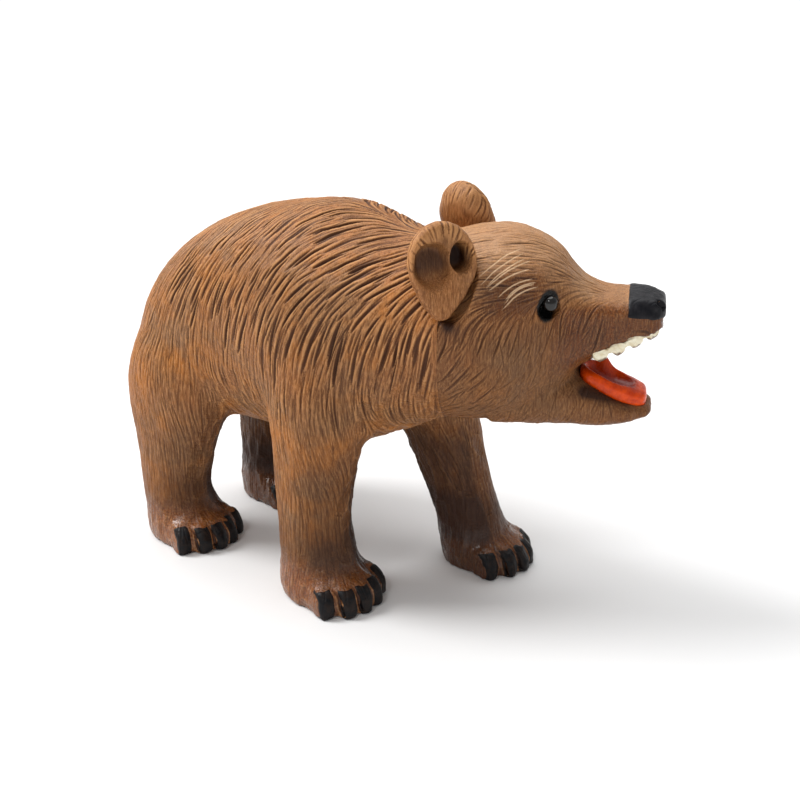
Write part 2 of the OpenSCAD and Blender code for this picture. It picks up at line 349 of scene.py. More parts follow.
class Strokes:
    """Many short tapered cuts, kept as samples: one for each step of a stroke."""

    def __init__(self):
        self.rows = []

    def add(self, points, normals, widths, depths):
        """points is (steps + 1, strokes, 3); each step between two points is one sample."""
        run = points[1:] - points[:-1]
        half_length = np.linalg.norm(run, axis=2, keepdims=True) / 2
        middle = (points[1:] + points[:-1]) / 2
        facing = unit(normals[1:] + normals[:-1])
        widths = np.maximum(widths, THINNEST)
        parts = [middle, unit(run), facing, half_length, widths[..., None], depths[..., None]]
        self.rows.append(np.concatenate(parts, axis=2).reshape(-1, COLUMNS))

    def depth_on(self, verts, normals, rounded):
        """Depth of the deepest cut at each vertex."""
        out = np.zeros(len(verts))
        if not self.rows:
            return out
        samples = np.concatenate(self.rows)
        reach = np.maximum(samples[:, HALF_LENGTH], samples[:, HALF_WIDTH])
        for low, high in zip(BANDS, BANDS[1:]):
            chosen = samples[(reach > low) & (reach <= high)]
            if len(chosen):
                cut_band(out, verts, normals, chosen, rounded)
        return out


def cut_band(out, verts, normals, samples, rounded):
    """Deepens out where samples of like reach lie, found through a grid of cells."""
    cell = samples[:, HALF_LENGTH:HALF_WIDTH + 1].max() * 1.05
    low = verts.min(axis=0) - 2 * cell
    size = np.ceil((verts.max(axis=0) - low) / cell).astype(np.int64) + 4

    def keys_of(points):
        place = np.floor((points - low) / cell).astype(np.int64)
        return (place[:, 0] * size[1] + place[:, 1]) * size[2] + place[:, 2]

    keys = keys_of(verts)
    order = np.argsort(keys, kind="stable")
    keys = keys[order]
    home = keys_of(samples[:, PLACE])
    for shift in [(dx * size[1] + dy) * size[2] for dx in (-1, 0, 1) for dy in (-1, 0, 1)]:
        first = np.searchsorted(keys, home + shift - 1, "left")
        count = np.searchsorted(keys, home + shift + 1, "right") - first
        ends = np.cumsum(count)
        begin = 0
        while begin < len(samples):
            done = ends[begin - 1] if begin else 0
            end = max(int(np.searchsorted(ends, done + BATCH, "right")), begin + 1)
            c = count[begin:end]
            which = np.repeat(np.arange(begin, end), c)
            offset = np.arange(len(which)) - np.repeat(np.cumsum(c) - c, c)
            cut_into(out, verts, normals, samples, which, order[first[which] + offset], rounded)
            begin = end


def dots(a, b):
    """Dot product of each row of a with that of b."""
    return np.einsum("ij,ij->i", a, b)


def cut_into(out, verts, normals, samples, which, vertex, rounded):
    """Deepens out at vertex for each pair of a sample and a vertex near it."""
    away = verts[vertex] - samples[which, PLACE]
    reach = samples[which, HALF_LENGTH] + samples[which, HALF_WIDTH]
    near = dots(away, away) < reach ** 2
    away, which, vertex = away[near], which[near], vertex[near]
    s = samples[which]
    along = dots(away, s[:, RUN])
    high = dots(away, s[:, FACING])
    flat = dots(away, away) - along ** 2 - high ** 2
    share = np.sqrt(np.maximum(flat, 0)) / s[:, HALF_WIDTH]
    facing = dots(normals[vertex], s[:, FACING])
    good = (share < 1) & (np.abs(along) <= s[:, HALF_LENGTH] * 1.08) & (facing > 0.25)
    profile = 1 - share[good] ** 2 if rounded else (1 - share[good]) ** 0.85
    np.maximum.at(out, vertex[good], s[good, DEPTH] * profile)


class Surface:
    """The uncut surface that strokes are laid on."""

    def __init__(self, verts, faces):
        self.verts = verts
        self.normals = normals_of(verts, faces)
        self.tree = BVHTree.FromPolygons(verts.tolist(), faces.tolist())

    def nearest(self, points):
        """Nearest places on the surface and its normals there."""
        places, facings = np.empty_like(points), np.empty_like(points)
        for i, point in enumerate(points.tolist()):
            place, facing, _, _ = self.tree.find_nearest(point, NEAR)
            if place is None:
                place, facing, _, _ = self.tree.find_nearest(point)
            places[i] = place
            facings[i] = facing
        return places, facings

    def scatter(self, weight, gap):
        """Indices of vertices, one to a cell of size gap, where weight beats a random number."""
        candidates = np.nonzero(weight > rng.random(len(weight)))[0]
        rng.shuffle(candidates)
        taken, kept = set(), []
        keys = np.floor(self.verts / gap).astype(int)
        for i in candidates.tolist():
            cell = tuple(keys[i])
            if cell not in taken:
                taken.add(cell)
                kept.append(i)
        return np.array(kept, dtype=int)


def taper_of(steps, entry, leave):
    """Relative size of a stroke at each step, at most 1; entry and leave shape its two ends."""
    t = (np.arange(steps) + 0.5) / steps
    taper = (t ** entry) * ((1 - t) ** leave)
    return (taper / taper.max())[:, None]


def lay(surface, strokes, flow, weight, gap, length, half_width, depth, step=0.8, spread=0.05,
        entry=0.5, leave=0.45, crowd=0.12):
    """Lays tapered strokes, about gap apart, over the part of a surface where weight is above 0.

    length, half_width and depth are (low, high) pairs; flow(points) gives the way the cut runs
    and spread is how far a stroke may stray from it. A stroke is left out if more than a
    share, crowd, of it lies where another already is.
    """
    starts = surface.scatter(weight, gap)
    count = len(starts)
    if not count:
        return
    lengths = rng.uniform(*length, count)
    steps = int(np.ceil(max(length) / step))
    stride = lengths / steps
    turn = rng.normal(0, spread, count)
    point = surface.verts[starts]
    facing = surface.normals[starts]
    points, normals = [point], [facing]
    for _ in range(steps):
        run = flow(point)
        run = unit(run - facing * np.sum(run * facing, axis=1)[:, None])
        run = run + np.cross(facing, run) * turn[:, None]
        point, facing = surface.nearest(point + unit(run) * stride[:, None])
        points.append(point)
        normals.append(facing)
    points, normals = np.array(points), np.array(normals)
    keep = uncrowded(points, gap, crowd)
    points, normals = points[:, keep], normals[:, keep]
    taper = taper_of(steps, entry, leave)
    widths = taper ** 0.7 * rng.uniform(*half_width, len(keep))
    depths = taper * rng.uniform(*depth, len(keep))
    strokes.add(points, normals, widths, depths)


def uncrowded(points, gap, crowd):
    """Numbers of the strokes to keep so that they stay about gap apart."""
    cells = np.floor(points / gap).astype(int)
    taken, keep = set(), []
    for i in range(points.shape[1]):
        own = [tuple(cell) for cell in cells[:, i].tolist()]
        if sum(cell in taken for cell in own) <= crowd * len(own):
            taken.update(own)
            keep.append(i)
    return keep


def cut_line(surface, strokes, line, half_width, depth, step=0.5, entry=0.4, leave=0.3):
    """One stroke along a polyline of points near the surface."""
    line = np.array(line, dtype=float)
    gaps = np.linalg.norm(np.diff(line, axis=0), axis=1)
    steps = max(int(gaps.sum() / step), 3)
    at = np.linspace(0, gaps.sum(), steps + 1)
    stops = np.concatenate([[0], np.cumsum(gaps)])
    path = np.stack([np.interp(at, stops, line[:, k]) for k in range(3)], 1)
    places, facings = surface.nearest(path)
    taper = taper_of(steps, entry, leave)
    strokes.add(places[:, None], facings[:, None], taper ** 0.6 * half_width, taper * depth)


# ------------------------ the lie of the fur

lock_waves = Waves(26)
side_waves = Waves(18)


def body_flow(points):
    """Backwards along the spine, then down the sides, plumb down the legs."""
    x, z = points[:, 0], points[:, 2]
    slant = np.interp(z, [0, 28, 42, 56, 70, 86, 100], [0, 0, -0.24, 0.05, 0.32, 0.5, 0.75])
    slant = slant + 0.5 * smoothstep(-8, 14, x) * smoothstep(72, 92, z)
    fan = smoothstep(2, 26, x) * (1 - smoothstep(48, 64, z)) * smoothstep(14, 32, z)
    slant = slant - 0.45 * fan + 0.16 * lock_waves(points)
    parting = 0.9 * np.clip(points[:, 1] / 6, -1, 1) * smoothstep(82, 98, z)
    return np.stack([-slant, parting + 0.14 * side_waves(points), -np.ones(len(points))], 1)


def head_flow(points):
    """Back over the brow, then down the cheeks."""
    q = to_head(points)
    side = np.sign(q[:, 1])
    crown = smoothstep(3, 15, q[:, 2])[:, None]
    jowl = (smoothstep(24, 8, q[:, 0]) * smoothstep(4, -8, q[:, 2]))[:, None]
    over = np.array([-1, 0, -0.12]) + side[:, None] * (0, 0.25, 0)
    down, back = np.array([-0.32, 0, -1]), np.array([-0.95, 0, -1])
    run = over * crown + (1 - crown) * (down * (1 - jowl) + back * jowl)
    run[:, 2] += 0.2 * lock_waves(points)
    return run @ HEAD_AXES


# ------------------------ cutting the two blocks

LIP_CORNER, LIP_SLOPE = (31, -9), 0.53


def upper_lip(x):
    """Height of the upper lip's edge, in the head's frame."""
    return LIP_CORNER[1] + (x - LIP_CORNER[0]) * LIP_SLOPE


def lower_lip(x):
    """Height of the gutter between the tongue and the lower lip, where shade is painted, in the
    head's frame.
    """
    return -14.6 - (x - 34) * 0.30


def faces_midline(verts, normals):
    """1 on the inner faces of the legs, 0 elsewhere."""
    inward = smoothstep(0.1, 0.5, -normals[:, 1] * np.sign(verts[:, 1]))
    return inward * (1 - smoothstep(36, 48, verts[:, 2]))


def carve_body(surface, cuts):
    """Deep locks on the mane, finer ones below it, and wide facets on the paws and inner legs."""
    cut = partial(lay, surface, cuts["groove"], body_flow)
    scoop = partial(lay, surface, cuts["scoop"], body_flow, step=1.4, crowd=0.5)
    v, n = surface.verts, surface.normals
    x, z = v[:, 0], v[:, 2]
    mane = smoothstep(75, 83, z) * smoothstep(-42, -16, x)
    mane *= 1 - 0.8 * smoothstep(0.85, 0.98, n[:, 2])
    upper = smoothstep(58, 74, z) * (1 - smoothstep(0.5, 0.9, mane))
    lower = smoothstep(30, 42, z) * (1 - smoothstep(60, 78, z))
    plain = 1 - 0.85 * faces_midline(v, n)
    cut(mane, 2.0, (8, 19), (0.42, 0.7), (0.5, 1.0), entry=0.7)
    cut(mane, 1.8, (5, 11), (0.28, 0.48), (0.25, 0.6), crowd=0.3)
    cut(upper, 1.4, (6, 15), (0.25, 0.42), (0.2, 0.5), entry=0.7)
    cut(lower, 1.3, (6, 15), (0.22, 0.34), (0.12, 0.32))
    cut(1.0 * (z > 24), 1.1, (4, 10), (0.22, 0.3), (0.1, 0.28), crowd=0.3)
    cut(plain * (z > 8), 0.8, (4, 12), (0.18, 0.28), (0.06, 0.2))
    under = smoothstep(-0.2, -0.7, n[:, 2]) * smoothstep(8, 14, z)
    hidden = np.maximum(under, (1 - plain) * (z > 12))
    scoop(hidden, 2.6, (5, 10), (1.6, 2.6), (0.3, 0.6), spread=0.3)
    scoop((z < 15) * (z > 1) * 0.8, 2.6, (3, 6), (1.6, 2.4), (0.12, 0.3), spread=0.5)
    for leg in LEGS:
        cut_toes(surface, cuts["groove"], leg)


def toe_axes(leg):
    """Middles of a paw's claws, the way across them and the way out of the paw."""
    middles = [centre_of(name) for name in claw_names(leg)]
    across = unit((middles[-1] - middles[0]) * (1, 1, 0))
    return middles, across, np.array([across[1], -across[0], 0])


def cut_toes(surface, strokes, leg):
    """Short V cuts between the toes, from the brow of the paw down to the ground."""
    middles, across, out = toe_axes(leg)
    for first, second in zip(middles, middles[1:]):
        middle = (first + second) / 2
        top = middle - out * 2.6 + (0, 0, 4.6)
        brow = middle + out * 0.6 + (0, 0, 2.4)
        foot = middle + out * 2.0 + (0, 0, -3.4)
        cut_line(surface, strokes, [top, brow, foot], 0.75, 1.0, entry=0.9, leave=0.02)


# Fine pale cuts over the brow: where the first and the last start and end, in the head's frame
BROW_CUTS = 10
BROW_STARTS = ((8.5, 17, 15.8), (15.5, 17.6, 10.4))
BROW_ENDS = ((18, 9.5, 20.5), (21.5, 15.5, 13))


def brow_cuts(side):
    """Lines of the brow's cuts, each bowed upwards, fanned from the first to the last."""
    flip = np.array([1, side, 1])
    for share in np.linspace(0, 1, BROW_CUTS) + rng.normal(0, 0.03, BROW_CUTS):
        start = np.array(BROW_STARTS[0]) * (1 - share) + np.array(BROW_STARTS[1]) * share
        end = np.array(BROW_ENDS[0]) * (1 - share) + np.array(BROW_ENDS[1]) * share
        start, end = start + rng.normal(0, 0.7, 3), end + rng.normal(0, 0.7, 3)
        t = np.linspace(0, 1, 7)[:, None]
        line = start * (1 - t) + end * t + 4 * t * (1 - t) * np.array([0, 0.6, 1.3])
        yield from_head(line * flip)


def carve_head(surface, cuts):
    """Fine hair on the crown and cheeks, pale cuts on the brow, a line under the nose, nostrils."""
    cut = partial(lay, surface, cuts["groove"], head_flow)
    scoop = partial(lay, surface, cuts["scoop"], head_flow, step=1.4, crowd=0.5)
    x, _, z = to_head(surface.verts).T
    crown = smoothstep(5, 11, z) * (1 - smoothstep(33, 40, x))
    cheek = (1 - smoothstep(2, 9, z)) * (1 - smoothstep(30, 40, x))
    behind = (x < 14) * (z < 10) * (z > -24)
    muzzle = smoothstep(22, 27, x) * (1 - smoothstep(42, 44, x)) * (z < 9.4) * (z > -9)
    cut(crown, 1.25, (5, 13), (0.28, 0.42), (0.18, 0.4), spread=0.08)
    cut(crown, 0.8, (3, 7), (0.2, 0.28), (0.1, 0.24), crowd=0.3)
    cut(behind * 0.9, 1.8, (5, 12), (0.35, 0.55), (0.22, 0.45))
    cut(cheek * 0.9, 1.1, (3, 8), (0.22, 0.36), (0.1, 0.24), spread=0.25, crowd=0.25)
    cut(muzzle, 0.8, (0.5, 1.3), (0.2, 0.3), (0.04, 0.1), step=0.4, spread=0.7, crowd=1)
    cut(0.5 + 0 * x, 1.1, (2, 6), (0.18, 0.28), (0.04, 0.12), spread=0.3, crowd=0.3)
    scoop((z < -17) * 1.0, 2.8, (4, 8), (1.5, 2.4), (0.1, 0.26), spread=0.3)
    for side in (RIGHT, LEFT):
        for line in brow_cuts(side):
            cut_line(surface, cuts["scratch"], line, 0.21, 0.18)
        under_nose = [from_head((p, side * w, h)) for p, w, h in
                      ((43.5, 7.2, 1.9), (47, 6.6, 1.9), (50, 4.6, 1.9), (51, 0, 1.9))]
        cut_line(surface, cuts["groove"], under_nose, 0.7, 0.45, entry=0.5, leave=0.02)
        nostril = [from_head((p, side * w, h)) for p, w, h in ((49.4, 5.0, 8.6), (50.6, 4.4, 6.4))]
        cut_line(surface, cuts["scoop"], nostril, 1.15, 1.0, entry=0.3, leave=0.2)


# Vertices this near the joint plane or the ground stay where they are, so that both stay flat
JOINT_EDGE = 0.05
GROUND_EDGE = 0.02
# Below this height a vertex near the joint plane is part of a front leg, not of the joint
JOINT_FOOT = 45


def cut_block(keep_head, voxel, carve):
    """One block of the carving with its strokes cut, and the depths of its cuts."""
    verts, faces = block_half(keep_head, voxel)
    around = Neighbours(len(verts), faces)
    joint_gap = np.abs((verts - neck) @ ahead) + 9 * (verts[:, 2] < JOINT_FOOT)
    soft = (joint_gap > JOINT_EDGE) & (verts[:, 2] >= GROUND_EDGE)
    verts = around.smooth(verts, 4, np.where(soft, 0.6, 0.0))
    surface = Surface(verts, faces)
    cuts = {"groove": Strokes(), "scratch": Strokes(), "scoop": Strokes()}
    carve(surface, cuts)
    normals = surface.normals
    groove, scratch, scoop = (cut.depth_on(verts, normals, rounded=key == "scoop")
                              for key, cut in cuts.items())
    rough_cut = 0.05 * Waves(2.2, 9)(verts) + 0.1 * Waves(7)(verts)
    free = (joint_gap > JOINT_EDGE) & (verts[:, 2] > GROUND_EDGE)
    cut = np.where(free, np.maximum(groove, scratch) + scoop + rough_cut, 0)
    carved = above_ground(verts - normals * cut[:, None])
    relief = around.smooth(cut, 12) - cut
    return verts, carved, faces, {"groove": groove, "relief": relief, "scratch": scratch}


def to_piece(name, verts, faces, material, node, values=None):
    """A finished piece from arrays in millimetres, in the place of a CAD node."""
    mesh = to_mesh(name, verts * MM, faces)
    for key, value in (values or {}).items():
        layer = mesh.attributes.new(key, "FLOAT", "POINT")
        layer.data.foreach_set("value", np.ascontiguousarray(value, dtype=np.float32))
    mesh.shade_smooth()
    mesh.materials.append(material)
    obj = bpy.data.objects.new(name, mesh)
    bpy.context.scene.collection.objects.link(obj)
    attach(obj, "root")
    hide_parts(node)


# ------------------------ materials

class Nodes:
    """Short ways to add and join shader nodes in one material."""

    def __init__(self, name):
        self.material = bpy.data.materials.new(name)
        self.material.use_nodes = True
        self.tree = self.material.node_tree
        self.shader = self.tree.nodes["Principled BSDF"]

    def put(self, socket, value):
        """Links a socket to another, or sets it to a number or a colour."""
        if isinstance(value, bpy.types.NodeSocket):
            self.tree.links.new(value, socket)
        else:
            socket.default_value = value

    def fill(self, node, inputs):
        """Fills a node's inputs; a space in an input's name is written as an underscore."""
        for key, value in inputs.items():
            self.put(node.inputs[key.replace("_", " ")], value)

    def add(self, kind, **inputs):
        node = self.tree.nodes.new(kind)
        self.fill(node, inputs)
        return node

    def set(self, **inputs):
        """Sets or links inputs of the material's own shader."""
        self.fill(self.shader, inputs)

    def attribute(self, name):
        node = self.tree.nodes.new("ShaderNodeAttribute")
        node.attribute_name = name
        return node.outputs["Fac"]

    def math(self, kind, a, b):
        node = self.tree.nodes.new("ShaderNodeMath")
        node.operation = kind
        self.put(node.inputs[0], a)
        self.put(node.inputs[1], b)
        return node.outputs[0]

    def span(self, value, low, high, to_low=0.0, to_high=1.0):
        """Maps low to high onto to_low to to_high, clamped."""
        node = self.tree.nodes.new("ShaderNodeMapRange")
        for index, item in enumerate((value, low, high, to_low, to_high)):
            self.put(node.inputs[index], item)
        return node.outputs[0]

    def mix(self, share, a, b):
        """A colour between a and b; the node's first colour sockets are numbers 6 and 7."""
        node = self.tree.nodes.new("ShaderNodeMix")
        node.data_type = "RGBA"
        for index, item in ((0, share), (6, a), (7, b)):
            self.put(node.inputs[index], item)
        return node.outputs[2]

    def noise(self, scale, detail, stretch=(1, 1, 1), roughness=0.55):
        """Noise in object coordinates; scale is features to the millimetre."""
        place = self.tree.nodes.new("ShaderNodeTexCoord").outputs["Object"]
        sizes = tuple(s * scale / MM for s in stretch)
        mapping = self.add("ShaderNodeMapping", Vector=place, Scale=sizes)
        node = self.add("ShaderNodeTexNoise", Vector=mapping.outputs[0], Scale=1.0, Detail=detail,
                        Roughness=roughness)
        return node.outputs["Fac"]

    def bump(self, height, distance, strength):
        """A normal from a height between 0 and 1; distance is its size in millimetres."""
        node = self.add("ShaderNodeBump", Height=height, Strength=strength, Distance=distance * MM)
        return node.outputs["Normal"]


def rgb(red, green, blue):
    """A linear colour, opaque."""
    return (red, green, blue, 1.0)


STAIN = rgb(0.275, 0.098, 0.027)
STAIN_GREY = rgb(0.220, 0.102, 0.040)
STAIN_GOLD = rgb(0.430, 0.140, 0.016)
# Darkest stain, also the colour that painted shade is mixed towards
DARK_STAIN_AND_SHADE = rgb(0.022, 0.006, 0.002)
CUT_BROWN = rgb(0.062, 0.018, 0.004)
UMBER = rgb(0.105, 0.035, 0.009)
WORN = rgb(0.540, 0.262, 0.100)
# Pale cut wood, also the colour of the painted sheen on the crown
PALE_CUT_AND_SHEEN = rgb(0.660, 0.440, 0.260)
PAW_ORANGE = rgb(0.230, 0.056, 0.005)
BLACK = rgb(0.003, 0.003, 0.003)
HOLLOW_SHADE_RED = rgb(0.210, 0.008, 0.001)
GRAIN = (1, 1, 0.07)


def wood_material(name, grey, gold, ridge, gloss):
    """Stained carved wood in layers: dark in the cuts, worn pale on the ridges, fine grain, with a
    painted sheen and painted shade where a piece's attributes ask for them.

    grey and gold are the strengths of the two tints; ridge is the height in millimetres at
    which a ridge is worn through; gloss is the varnish left where the stain is orange.
    """
    n = Nodes(name)
    groove, relief = n.attribute("groove"), n.attribute("relief")
    broad = n.noise(0.04, 3)
    patches = n.noise(0.09, 4, roughness=0.6)
    fibre = n.noise(1.1, 6, stretch=GRAIN, roughness=0.72)
    fine = n.noise(3.6, 5, stretch=GRAIN, roughness=0.75)
    speck = n.noise(2.2, 5, roughness=0.8)
    paw, black = n.attribute("paw"), n.attribute("black")
    layers = [
        (n.span(broad, 0.40, 0.60), STAIN_GREY),
        (n.math("MULTIPLY", n.span(patches, 0.46, 0.66), gold), STAIN_GOLD),
        (grey, STAIN_GREY),
        (n.math("MULTIPLY", paw, n.span(patches, 0.35, 0.6, 0.6, 0.95)), PAW_ORANGE),
        (n.span(fibre, 0.47, 0.66, 0.0, 0.8), UMBER),
        (n.span(fine, 0.50, 0.68, 0.0, 0.75), WORN),
        (n.span(fine, 0.47, 0.32, 0.0, 0.75), UMBER),
        (n.math("MULTIPLY", paw, n.span(speck, 0.5, 0.62, 0.0, 0.7)), DARK_STAIN_AND_SHADE),
        # painted sheen on up-facing faces
        (n.attribute("painted_sheen"), PALE_CUT_AND_SHEEN),
        (n.span(relief, 0.015, ridge, 0.0, 0.8), WORN),
        (n.span(groove, 0.03, 0.34, 0.0, 0.9), CUT_BROWN),
        (n.span(groove, 0.4, 0.9, 0.0, 0.8), DARK_STAIN_AND_SHADE),
        # painted shade, together with glue and darker stain
        (n.attribute("painted_shade_and_stain"), DARK_STAIN_AND_SHADE),
        (n.span(n.attribute("scratch"), 0.02, 0.10, 0.0, 0.85), PALE_CUT_AND_SHEEN),
        (black, BLACK),
    ]
    colour = STAIN
    for share, tint in layers:
        colour = n.mix(share, colour, tint)
    rough = n.span(fibre, 0.3, 0.7, 0.34, 0.54)
    rough = n.math("SUBTRACT", rough, n.math("MULTIPLY", paw, 0.16))
    rough = n.math("SUBTRACT", rough, n.math("MULTIPLY", black, 0.22))
    height = n.math("ADD", n.math("MULTIPLY", fibre, 0.6), n.math("MULTIPLY", fine, 0.4))
    n.set(Base_Color=colour, Roughness=rough, Normal=n.bump(height, 0.3, 0.9),
          Coat_Weight=n.math("MULTIPLY", paw, gloss), Coat_Roughness=0.22,
          Specular_IOR_Level=0.2)
    return n.material


def plain_material(name, colour, other, rough, bump_scale=1.5, bump_depth=0.05, coat=0.0,
                   hollow=None):
    """Paint over wood: two close colours in patches, with a slightly uneven surface.

    hollow is the colour of painted shade, used where the piece's shade attribute is 1.
    """
    n = Nodes(name)
    patches = n.noise(0.6, 4)
    grainy = n.noise(bump_scale, 5, roughness=0.65)
    blend = n.mix(n.span(patches, 0.4, 0.65), colour, other)
    if hollow:
        blend = n.mix(n.attribute("painted_shade_and_stain"), blend, hollow)
    n.set(Base_Color=blend, Roughness=n.span(grainy, 0.3, 0.7, rough - 0.06, rough + 0.08),
          Normal=n.bump(grainy, bump_depth, 0.8), Specular_IOR_Level=0.18, Coat_Weight=coat,
          Coat_Roughness=0.15)
    return n.material


def glass_material(name):
    """Opaque black glass with a faint warm depth and a hard polish."""
    n = Nodes(name)
    swirl = n.noise(0.9, 2)
    deep, warm = rgb(0.001, 0.001, 0.001), rgb(0.004, 0.002, 0.001)
    n.set(Base_Color=n.mix(n.span(swirl, 0.4, 0.7), deep, warm),
          Roughness=n.span(swirl, 0.3, 0.7, 0.03, 0.06), Specular_IOR_Level=0.5)
    return n.material


def wire_material(name):
    """Drawn steel, with fine lines along it."""
    n = Nodes(name)
    drawn = n.noise(6, 3, stretch=(0.05, 1, 1))
    n.set(Base_Color=n.mix(drawn, rgb(0.35, 0.35, 0.34), rgb(0.62, 0.62, 0.6)),
          Roughness=n.span(drawn, 0.3, 0.7, 0.28, 0.42), Metallic=1.0)
    return n.material


def tooth_material(name):
    """Cream paint, thin and brown where the tips are worn."""
    n = Nodes(name)
    hollow_shade, grainy = n.noise(0.7, 4), n.noise(2.5, 4)
    colour = n.mix(n.span(hollow_shade, 0.4, 0.7), rgb(0.80, 0.74, 0.56), rgb(0.62, 0.50, 0.30))
    colour = n.mix(n.attribute("worn"), colour, rgb(0.10, 0.045, 0.02))
    n.set(Base_Color=colour, Roughness=n.span(grainy, 0.3, 0.7, 0.3, 0.48),
          Normal=n.bump(grainy, 0.05, 0.6), Coat_Weight=0.3, Coat_Roughness=0.2)
    return n.material


def bare_wood_material(name):
    """Pale unstained wood with its grain along Z."""
    n = Nodes(name)
    fibre = n.noise(1.2, 5, stretch=(1, 1, 0.1), roughness=0.7)
    n.set(Base_Color=n.mix(fibre, rgb(0.42, 0.27, 0.14), rgb(0.68, 0.50, 0.31)),
          Roughness=n.span(fibre, 0.3, 0.7, 0.55, 0.72), Normal=n.bump(fibre, 0.08, 0.6))
    return n.material


body_wood = wood_material("stained body wood", 0.1, 0.9, 0.14, 0.35)
face_wood = wood_material("stained face wood", 0.2, 0.5, 0.13, 0.08)
ear_wood = wood_material("stained ear wood", 0.3, 0.2, 0.12, 0.05)
nose_paint = plain_material("black nose paint", rgb(0.003, 0.003, 0.005), rgb(0.010, 0.009, 0.011),
                            0.36, bump_depth=0.12)
claw_paint = plain_material("black claw paint", rgb(0.003, 0.003, 0.004), rgb(0.014, 0.008, 0.006),
                            0.42)
red_paint = plain_material("red tongue paint", rgb(0.70, 0.065, 0.002), rgb(0.50, 0.036, 0.002),
                           0.26, bump_scale=0.8, bump_depth=0.12, coat=0.12, hollow=HOLLOW_SHADE_RED)
tooth_paint = tooth_material("cream tooth paint")


# ------------------------ the two blocks

GLUE_REACH = 2.0
EYE_HALF_HEIGHT, EYE_HALF_WIDTH = 3.9, 2.9


def ellipse_mask(points, centre, along, across, half_length, half_width, edge):
    """1 inside an ellipse on the surface round centre, 0 outside it."""
    away = points - centre
    reach = np.sqrt((away @ along / half_length) ** 2 + (away @ across / half_width) ** 2)
    near = np.linalg.norm(away, axis=1) < 2 * half_length
    return (1 - smoothstep(1 - edge, 1 + edge, reach)) * near


def ear_roots(verts):
    """Dark glue at the foot of each ear, 1 at its middle."""
    out = np.zeros(len(verts))
    for name in ("ear_right", "ear_left"):
        points = node_arrays(name)[0]
        foot = points[np.argmin(points[:, 2])]
        out = np.maximum(out, np.exp(-np.sum((verts - foot) ** 2, axis=1) / GLUE_REACH ** 2))
    return out


def body_masks(verts, normals):
    """Where the body's colour changes: orange paws, darker ankles, chest and shoulders, dark glue
    at the ears' feet, and painted shade on the inner legs, forward faces and lower body.
    """
    x, _, z = verts.T
    low = 1 - smoothstep(32, 50, z)
    paw = 1 - smoothstep(9, 15, z)
    ankle = 0.3 * smoothstep(7, 13, z) * (1 - smoothstep(16, 26, z))
    # Painted shade: faces turned to the midline, forward faces of the legs and the lower body are
    # darkened where less light falls
    inner = 0.5 * faces_midline(verts, normals)
    front = 0.22 * low * smoothstep(0.1, 0.8, normals[:, 0])
    chest = 0.14 * (1 - smoothstep(66, 80, z)) * smoothstep(0, 12, x)
    shoulder = 0.2 * np.exp(-((x - 6) / 20) ** 2 - ((z - 80) / 11) ** 2)
    painted_shade_and_stain = ankle + np.maximum(inner, front) + 0.16 * low + chest + shoulder + ear_roots(verts)
    return {"paw": paw, "painted_shade_and_stain": np.clip(painted_shade_and_stain, 0, 0.95)}


def head_masks(verts, normals):
    """Where the head's colour changes: orange muzzle and brow, black eye rims, glue at the ears'
    feet, painted shade in the mouth and on the lower head, and a painted sheen on the up-facing
    crown.
    """
    q = to_head(verts)
    x, y, z = q.T
    # Painted shade over the mouth's inner faces between the lips
    inside = smoothstep(28.5, 30.5, x) * smoothstep(-18.5, -17, z)
    inside *= smoothstep(0.2, -0.5, z - upper_lip(x))
    inside *= smoothstep(0, 1.5, z + 9.6 + (x - 31) * 0.42)
    muzzle = smoothstep(23, 31, x) * (1 - smoothstep(7, 8.6, z)) * smoothstep(-10, -5, z)
    chin = smoothstep(34, 42, x) * (1 - smoothstep(-20, -17, z))
    brow = np.exp(-((x - 16.5) / 7.5) ** 4 - ((z - 12.8) / 5) ** 4) * smoothstep(7, 11, np.abs(y))
    # Painted shade in the groove under the tongue
    gutter = smoothstep(31, 34, x) * np.exp(-((z - lower_lip(x)) / 1.2) ** 2)
    black = np.zeros(len(verts))
    for side, name in ((RIGHT, "eye_bead_right"), (LEFT, "eye_bead_left")):
        centre = to_head(centre_of(name)) + (-0.5, 0, -0.4)
        facing = unit(np.array([0.4, side, 0.1]))
        tall = unit(np.array([0.16, -0.12 * side, 1.0]))
        wide = unit(np.cross(tall, facing))
        rim = ellipse_mask(q, centre, tall, wide, EYE_HALF_HEIGHT, EYE_HALF_WIDTH, 0.12)
        black = np.maximum(black, rim)
    # Painted shade: the lower head and the muzzle darkened where less light falls
    low = 0.36 * (1 - smoothstep(2, 11, z)) + 0.12 * muzzle
    lip_front = 1 - smoothstep(44.5, 47, x) * (z < -11)
    mouth = (0.9 * inside + 0.8 * gutter) * lip_front
    painted_shade_and_stain = low * (1 - brow) + mouth + 0.6 * brow + ear_roots(verts)
    # Painted sheen: up-facing faces of the crown mixed towards pale, in place of the top light's
    # reflection
    crown = smoothstep(0.3, 0.9, (normals @ HEAD_AXES.T)[:, 2]) * smoothstep(6, 12, z)
    return {"paw": np.clip(muzzle + 0.35 * chin + 0.9 * brow, 0, 1), "black": black,
            "painted_shade_and_stain": np.clip(painted_shade_and_stain, 0, 0.95), "painted_sheen": 0.28 * crown * (1 - brow)}


def block_piece(name, keep_head, voxel, carve, masks, material, node):
    """Makes one block's piece; returns its carved surface as vertices, normals, triangles."""
    verts, carved, faces, values = cut_block(keep_head, voxel, carve)
    values.update(masks(verts, normals_of(verts, faces)))
    to_piece(name, carved, faces, material, node, values)
    tris = np.concatenate([faces[:, [0, 1, 2]], faces[:, [0, 2, 3]]])
    return carved, normals_of(carved, faces), tris


body_skin = block_piece("body", False, BODY_VOXEL, carve_body, body_masks, body_wood,
                        "body_block")
head_skin = block_piece("head", True, HEAD_VOXEL, carve_head, head_masks, face_wood,
                        "head_block")


# ------------------------ ears

